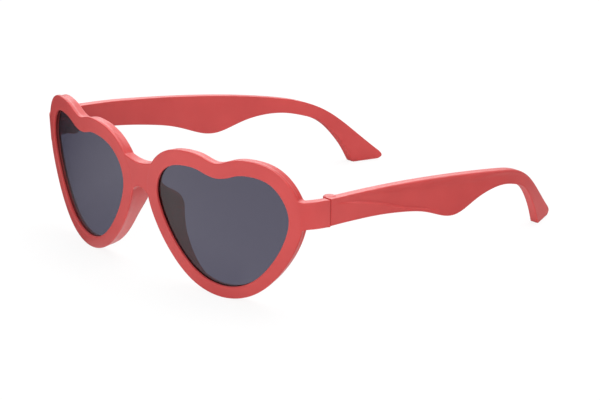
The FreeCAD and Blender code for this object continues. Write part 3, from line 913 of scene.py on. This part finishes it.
def temple_curves(temple):
    """Top and underside from the side, and the outer face from above."""
    start, drop = TEMPLE_BOX[0].y, TEMPLE_BOX[1].z

    def side(share, up):
        return start + share * temple.length, up * drop

    top = Spline([side(*pair) for pair in TOP_SHARES])
    foot = (start, drop - temple.front_height)
    under = Spline([foot] + [side(*pair) for pair in UNDER_SHARES])
    plan = Spline([
        (start + along * temple.length, TEMPLE_BOX[1].x - inner * temple.convergence)
        for along, inner in PLAN_SHARES])
    return top, under, plan


def temple_stations(temple, top, under):
    """Pairs of points on the top and the underside, from the hinge to the tip."""
    start = TEMPLE_BOX[0].y
    tops, unders = [], []
    for share in STRAIGHT_SHARES:
        y = start + share * temple.length
        tops.append(top.at(top.find(0, y, 0, 1)))
        unders.append(under.at(under.find(0, y, 0, 1)))
    top_from, under_from = top.find(0, y, 0, 1), under.find(0, y, 0, 1)
    for share in HOOK_SHARES:
        tops.append(top.at(top_from + (1 - top_from) * share))
        unders.append(under.at(under_from + (1 - under_from) * share))
    heel = np.array([start + HEEL_SHARE * temple.length, temple.heel_height])
    above = top.at(1) * (1 - HEEL_MIX_SHARE) + heel * HEEL_MIX_SHARE + np.array([temple.heel_bulge, 0])
    tops += [above, heel]
    unders += [under.at(TIP_UNDER_SHARE), under.at(1)]
    return eased(tops, False), eased(unders, False)


def panel_line(share):
    """Where the moulded panel's edge lies under the top edge."""
    along, down = zip(*PANEL_SHARES)
    return float(np.interp(share, along, down))


def temple_section(temple, share, height):
    """One cross section: share down from the top, share of the thickness inward, step outward."""
    edge = min(temple.edge_round / height, EDGE_LIMIT_SHARE)
    under = min(temple.under_round / height, UNDER_LIMIT_SHARE)
    grown = smooth_step(share, *CROWN_START_SHARES)
    crown = temple.edge_round + (temple.crown_round - temple.edge_round) * grown
    crown_share = min(crown / height, CROWN_LIMIT_SHARE)
    top_edge, bead, hollow, side = (crown_share * reach for reach in CROWN_COLUMN_SHARES)
    panel = max(min(panel_line(share), 1 - PANEL_LOW_SHARE * under), PANEL_HIGH_SHARE * side)
    face = -temple.bead_step * grown * (1 - smooth_step(share, *BEAD_END_SHARES))
    raised = smooth_step(share, *PANEL_START_SHARES) * (1 - smooth_step(share, *PANEL_END_SHARES))
    panel_face = face + temple.panel_step * raised
    return [
        (0, 0, 0),
        (top_edge, 0, 0),
        (bead, 0, BEAD_FACE_SHARE * face),
        (hollow, 0, HOLLOW_FACE_SHARE * face),
        (side, 0, face),
        (panel, 0, face),
        (panel + temple.panel_ledge / height, 0, panel_face),
        ((panel + 1) / 2, 0, panel_face),
        (1 - under, 0, panel_face),
        (1, 0, panel_face),
        (1, temple.under_round / temple.thickness, 0),
        (1, INNER_EDGE_SHARE, 0),
        (1, 1, 0),
        (1 - edge, 1, 0),
        (0.5, 1, 0),
        (edge, 1, 0),
        (0, 1, 0),
        (0, INNER_EDGE_SHARE, 0),
        (0, min(crown / temple.thickness, 0.5), 0),
    ]


def temple_table(temple):
    """The place of each station and section point of the left temple's blade."""
    top, under, plan = temple_curves(temple)
    table = []
    for high, low in zip(*temple_stations(temple, top, under)):
        height = float(np.linalg.norm(high - low))
        share = ((high[0] + low[0]) / 2 - TEMPLE_BOX[0].y) / temple.length
        line = []
        for down, inner, step in temple_section(temple, share, height):
            y, z = high + (low - high) * down
            spot = plan.find(0, y, 0, 1)
            x = plan.at(spot)[1]
            slope = plan.along(spot)
            x -= inner * temple.thickness / slope[0]
            line.append(Vector((x + step, y, z)))
        table.append(line)
    return table


def slot_tool(temple):
    """The room for the front's knuckle, open to the front."""
    bottom, top = tongue_heights(temple)
    bm = bmesh.new()
    radius = temple.knuckle_radius + temple.slot_room
    verts = cylinder(bm, HINGE_X, HINGE_Y, bottom - temple.knuckle_gap, top + temple.knuckle_gap, radius)
    for vert in verts:
        if vert.co.y < HINGE_Y - temple.flat_start:
            vert.co.y = TEMPLE_BOX[0].y - SLOT_OVERRUN
    return finished("slot_tool", bm, None)


def bore_tool(bottom, top, radius):
    """A round hole on the hinge axis."""
    bm = bmesh.new()
    cylinder(bm, HINGE_X, HINGE_Y, bottom, top, radius)
    return finished("bore_tool", bm, None)


def barrel_tool(temple):
    """The hinge barrel, with rounded ends."""
    bm = bmesh.new()
    drop = TEMPLE_BOX[1].z
    cylinder(bm, HINGE_X, HINGE_Y, drop - temple.front_height, drop, temple.knuckle_radius, BARREL_SEGMENTS)
    rims = [edge for edge in bm.edges if edge.verts[0].co.z == edge.verts[1].co.z]
    bmesh.ops.bevel(
        bm, geom=rims, offset=temple.barrel_round, offset_type="OFFSET", affect="EDGES",
        segments=3, profile=0.5, material=-1)
    return finished("barrel_tool", bm, None)


def build_temple():
    """The left temple: its blade, then the hinge barrel and the room for the hinge's other pieces."""
    temple = bpy.context.scene.glasses_temple
    table = temple_table(temple)
    bm = bmesh.new()
    row_of, column_of = loft(bm, len(table), len(table[0]), lambda row, column: table[row][column])
    for column in PANEL_COLUMNS:
        line = [vert for vert in bm.verts if vert[column_of] == column and vert[row_of] <= PANEL_LAST_ROW]
        crease(bm, ring_edges(line), 1.0)
    for end in (0, len(table) - 1):
        edges = ring_edges([vert for vert in bm.verts if vert[row_of] == end])
        bmesh.ops.contextual_create(bm, geom=edges)
        crease(bm, edges, TEMPLE_END_CREASE)
    piece = finished("left_arm", bm, red_plastic())
    subdivide(piece, 3)
    apply_modifiers(piece)
    bottom, top = tongue_heights(temple)
    foot = TEMPLE_BOX[1].z - temple.front_height
    insert_top = SCREW_BOX[1].z + temple.insert_room
    carve(piece, barrel_tool(temple), "UNION")
    carve(piece, slot_tool(temple), "DIFFERENCE")
    carve(piece, bore_tool(top, insert_top, temple.insert_bore), "DIFFERENCE")
    carve(piece, bore_tool(foot - CUT_OVERRUN, bottom, temple.shank_bore), "DIFFERENCE")
    carve(piece, bore_tool(foot - CUT_OVERRUN, foot + temple.head_depth, temple.head_bore), "DIFFERENCE")
    piece.data.set_sharp_from_angle(angle=TEMPLE_SHARP_ANGLE)
    return piece


# Stage

# Painted reflections: how bright gloss alone sees the floor, in painted light and dark patches round the
# object: places along X or Y in metres, and levels
PAINTED_AHEAD_STOPS = ((-0.116, 0.96), (-0.05, 0.09), (0.0, 0.09), (0.06, 0.2))
PAINTED_AHEAD_WIDTH_STOPS = ((-0.14, 0.35), (-0.075, 1.0), (0.045, 1.0), (0.075, 0.15))
PAINTED_BESIDE_STOPS = (
    (-0.04, 0.0), (-0.015, 0.3), (0.03, 0.45), (0.038, 0.8), (0.046, 0.8), (0.058, 0.05), (0.092, 0.05),
    (0.115, 0.75))
PAINTED_BESIDE_LENGTH_STOPS = ((0.025, 1.0), (0.06, 0.4))
PAINTED_PAD_WIDTH_STOPS = ((-0.036, 0.0), (-0.026, 0.6), (-0.004, 0.6), (0.004, 0.0))
PAINTED_PAD_LENGTH_STOPS = ((-0.082, 0.0), (-0.068, 1.0), (-0.03, 1.0), (-0.01, 0.2))

# Floor: its half size, how white it bounces light and is seen, and how much of what is seen glows
FLOOR_SIZE = 6
PAPER_TONES = ((0.88, 0.88, 0.88, 1), (0.92, 0.92, 0.92, 1))
SEEN_TONE = (0.9, 0.9, 0.9, 1)
SEEN_GLOW_SHARE = 0.88

# Sky: its even light on the object, and the painted reflection shade that gloss alone sees in it by height
# and to the near side
SKY_LIGHT = 0.57
SKY_RISE = {"From Min": 0.1, "From Max": 0.4, "To Min": 0.02, "To Max": 1.0}
SKY_BESIDE = {"From Min": 0.3, "From Max": 0.6, "To Min": 1.0, "To Max": 0.05}

# Softboxes: name, size in metres, power in watts and place
SOFTBOXES = (
    ("Top softbox", 0.9, 9.0, (0.0, 0.25, 1.05)),
    ("Front softbox", 0.8, 7.2, (0.72, -0.93, 0.62)),
    ("Back softbox", 0.7, 3.2, (-0.75, 0.7, 0.48)),
)
LIGHT_TARGET = (0, 0, 0.02)

# Camera: focal length and sensor in millimetres, place in metres, and its heading and fall
CAMERA_LENS = 202.9
CAMERA_SENSOR = 36
CAMERA_CLIP = 0.01
CAMERA_PLACE = (0.7237, -0.6411, 0.3239)
CAMERA_TURN = math.radians(48.58)
CAMERA_FALL = math.radians(18.05)


def ray_shares(tree):
    """One for rays that see the background, directly or in gloss or glass; one for gloss alone."""
    path = node(tree, "ShaderNodeLightPath").outputs
    direct = maths(tree, "MAXIMUM", path["Is Camera Ray"], path["Is Transmission Ray"])
    seen = maths(tree, "MAXIMUM", direct, path["Is Glossy Ray"])
    gloss = maths(tree, "SUBTRACT", path["Is Glossy Ray"], path["Is Transmission Ray"], use_clamp=True)
    return seen, gloss


def ramp(tree, value, stops):
    """A value that changes from stop to stop along one coordinate."""
    low, high = stops[0][0], stops[-1][0]
    spot = node(tree, "ShaderNodeMapRange", {"Value": value, "From Min": low, "From Max": high})
    strip = node(tree, "ShaderNodeValToRGB", {"Fac": spot.outputs["Result"]})
    points = strip.color_ramp.elements
    while len(points) < len(stops):
        points.new(0.5)
    for point, (place, _) in zip(points, stops):
        point.position = (place - low) / (high - low)
    for point, (_, level) in zip(points, stops):
        point.color = (level, level, level, 1)
    return strip.outputs["Color"]


def floor_material():
    """Pale matt paper that reads white and keeps a soft shadow; gloss alone sees painted patches of light and
    shade on it round the object, which paint reflections onto the object.
    """
    material, tree, shader = new_material("Pale floor")
    seen, gloss = ray_shares(tree)
    place = object_place(tree)
    parts = node(tree, "ShaderNodeSeparateXYZ", {0: place})
    x, y = parts.outputs["X"], parts.outputs["Y"]

    def lit(across, along, before):
        """A painted patch of brighter and darker levels for gloss, bounded both ways, over what is painted
        before.
        """
        levels = ramp(tree, x, across), ramp(tree, y, along)
        return maths(tree, "MULTIPLY_ADD", *levels, before, use_clamp=True)

    # painted reflections: patches of light and shade beside, ahead of and under the object, seen by gloss
    # alone
    beside = lit(PAINTED_BESIDE_STOPS, PAINTED_BESIDE_LENGTH_STOPS, 0.0)
    ahead = lit(PAINTED_AHEAD_WIDTH_STOPS, PAINTED_AHEAD_STOPS, beside)
    painted_pool = lit(PAINTED_PAD_WIDTH_STOPS, PAINTED_PAD_LENGTH_STOPS, ahead)
    level = node(tree, "ShaderNodeMix", {"Factor": gloss, "A": 1.0, "B": painted_pool})
    glow = node(tree, "ShaderNodeEmission", {"Strength": level.outputs["Result"]})
    fibres = node(tree, "ShaderNodeTexNoise", {"Vector": place, "Scale": 300.0, "Detail": 3.0})
    paper = between(tree, fibres.outputs["Fac"], *PAPER_TONES)
    fill(tree, shader, {
        "Base Color": between(tree, seen, paper, SEEN_TONE), "Roughness": 0.9, "Specular IOR Level": 0.0})
    # gloss sees the floor wholly as its painted glow; the camera sees it mostly glowing evenly white
    glowing = maths(tree, "MULTIPLY_ADD", seen, SEEN_GLOW_SHARE, gloss, use_clamp=True)
    mix = node(tree, "ShaderNodeMixShader", {
        "Fac": glowing, 1: shader.outputs["BSDF"], 2: glow.outputs["Emission"]})
    fill(tree, tree.nodes["Material Output"], {"Surface": mix.outputs["Shader"]})
    return material


def soft_light(name, size, power, place, target):
    """A square softbox aimed at a point."""
    lamp = bpy.data.lights.new(name, "AREA")
    lamp.shape = "SQUARE"
    lamp.size = size
    lamp.energy = power
    holder = bpy.data.objects.new(name, lamp)
    holder.location = place
    holder.rotation_euler = (Vector(target) - Vector(place)).to_track_quat("-Z", "Y").to_euler()
    bpy.context.scene.collection.objects.link(holder)


def set_sky():
    """A white sky that lights the object evenly; gloss alone sees painted reflection shade in it, dark near
    the horizon and to the near side.
    """
    world = bpy.data.worlds.new("Studio")
    world.use_nodes = True
    tree = world.node_tree
    seen, gloss = ray_shares(tree)
    direction = node(tree, "ShaderNodeTexCoord").outputs["Generated"]
    parts = node(tree, "ShaderNodeSeparateXYZ", {0: direction})
    level = node(tree, "ShaderNodeMapRange", {"Value": seen, "To Min": SKY_LIGHT, "To Max": 1.0})
    # painted reflection shade: gloss alone sees the sky darker near the horizon and to the near side
    rise = node(tree, "ShaderNodeMapRange", {"Value": parts.outputs["Z"], **SKY_RISE})
    beside = node(tree, "ShaderNodeMapRange", {"Value": parts.outputs["X"], **SKY_BESIDE})
    painted_gleam = maths(tree, "MULTIPLY", rise.outputs["Result"], beside.outputs["Result"])
    strength = node(tree, "ShaderNodeMix", {"Factor": gloss, "A": level.outputs["Result"], "B": painted_gleam})
    fill(tree, tree.nodes["Background"], {"Color": (1, 1, 1, 1), "Strength": strength.outputs["Result"]})
    bpy.context.scene.world = world


def set_camera():
    """The view of the photograph."""
    scene = bpy.context.scene
    lens = bpy.data.cameras.new("Camera")
    lens.lens = CAMERA_LENS
    lens.sensor_width = CAMERA_SENSOR
    lens.sensor_fit = "HORIZONTAL"
    lens.clip_start = CAMERA_CLIP
    camera = bpy.data.objects.new("Camera", lens)
    level = math.cos(CAMERA_FALL)
    view = Vector((-math.sin(CAMERA_TURN) * level, math.cos(CAMERA_TURN) * level, -math.sin(CAMERA_FALL)))
    camera.location = CAMERA_PLACE
    camera.rotation_euler = view.to_track_quat("-Z", "Y").to_euler()
    scene.collection.objects.link(camera)
    scene.camera = camera


def build_stage():
    """Floor, sky, softboxes and camera."""
    bm = bmesh.new()
    bmesh.ops.create_grid(bm, x_segments=4, y_segments=4, size=FLOOR_SIZE)
    floor = finished("studio_floor", bm, floor_material())
    set_sky()
    for name, size, power, place in SOFTBOXES:
        soft_light(name, size, power, place, LIGHT_TARGET)
    set_camera()
    bpy.context.scene.view_settings.view_transform = "Standard"


# Operators

class GLASSES_OT_front(bpy.types.Operator):
    """Build the moulded front: rims, bridge, nose pads, end pieces and their knuckles"""
    bl_idname = "glasses.front"
    bl_label = "Build front"

    def execute(self, context):
        piece = build_front()
        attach(piece, "front")
        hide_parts("front_frame")
        return {"FINISHED"}


class GLASSES_OT_lenses(bpy.types.Operator):
    """Build the two smoke tinted lenses"""
    bl_idname = "glasses.lenses"
    bl_label = "Build lenses"

    def execute(self, context):
        left = build_lens()
        for piece, replaced in ((left, "left_lens"), (mirrored(left, "right_smoke_lens"), "right_lens")):
            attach(piece, "front")
            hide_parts(replaced)
        return {"FINISHED"}


class GLASSES_OT_temples(bpy.types.Operator):
    """Build the two temples with their hinge knuckles"""
    bl_idname = "glasses.temples"
    bl_label = "Build temples"

    def execute(self, context):
        left = build_temple()
        for piece, body in ((left, "left_temple"), (mirrored(left, "right_arm"), "right_temple")):
            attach(piece, body)
            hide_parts(body)
        return {"FINISHED"}


class GLASSES_OT_hardware(bpy.types.Operator):
    """Finish the hinge screws and the threaded inserts"""
    bl_idname = "glasses.hardware"
    bl_label = "Finish hinge hardware"

    def execute(self, context):
        colours = context.scene.glasses_finishes
        steel = turned_metal("Turned steel", colours.steel, 0.24)
        brass = turned_metal("Turned brass", colours.brass, 0.28)
        for side in ("left", "right"):
            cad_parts[side + "_hinge_screw"].material_slots[0].material = steel
            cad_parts[side + "_hinge_insert"].material_slots[0].material = brass
        return {"FINISHED"}


class GLASSES_OT_stage(bpy.types.Operator):
    """Set the floor, the lights, the backdrop and the camera"""
    bl_idname = "glasses.stage"
    bl_label = "Set the stage"

    def execute(self, context):
        build_stage()
        return {"FINISHED"}


class GLASSES_PT_sidebar(bpy.types.Panel):
    """Sizes and steps of the sunglasses"""
    bl_idname = "GLASSES_PT_sidebar"
    bl_label = "Heart sunglasses"
    bl_space_type = "VIEW_3D"
    bl_region_type = "UI"
    bl_category = "Sunglasses"

    def draw(self, context):
        layout = self.layout
        for operator in OPERATORS:
            layout.operator(operator.bl_idname)
        for name, _ in GROUPS:
            box = layout.box()
            group = getattr(context.scene, name)
            for key in group.bl_rna.properties.keys():
                if key not in ("rna_type", "name"):
                    box.prop(group, key)


GROUPS = (
    ("glasses_front", FrontSizes),
    ("glasses_lens", LensSizes),
    ("glasses_temple", TempleSizes),
    ("glasses_finishes", Finishes),
)
OPERATORS = (GLASSES_OT_front, GLASSES_OT_lenses, GLASSES_OT_temples, GLASSES_OT_hardware, GLASSES_OT_stage)


def register():
    for name, group in GROUPS:
        bpy.utils.register_class(group)
        setattr(bpy.types.Scene, name, PointerProperty(type=group))
    for kind in OPERATORS + (GLASSES_PT_sidebar,):
        bpy.utils.register_class(kind)


def unregister():
    for kind in reversed(OPERATORS + (GLASSES_PT_sidebar,)):
        bpy.utils.unregister_class(kind)
    for name, group in reversed(GROUPS):
        delattr(bpy.types.Scene, name)
        bpy.utils.unregister_class(group)


def main():
    register()
    bpy.ops.glasses.stage()
    bpy.ops.glasses.front()
    bpy.ops.glasses.lenses()
    bpy.ops.glasses.temples()
    bpy.ops.glasses.hardware()


if __name__ == "__main__":
    main()
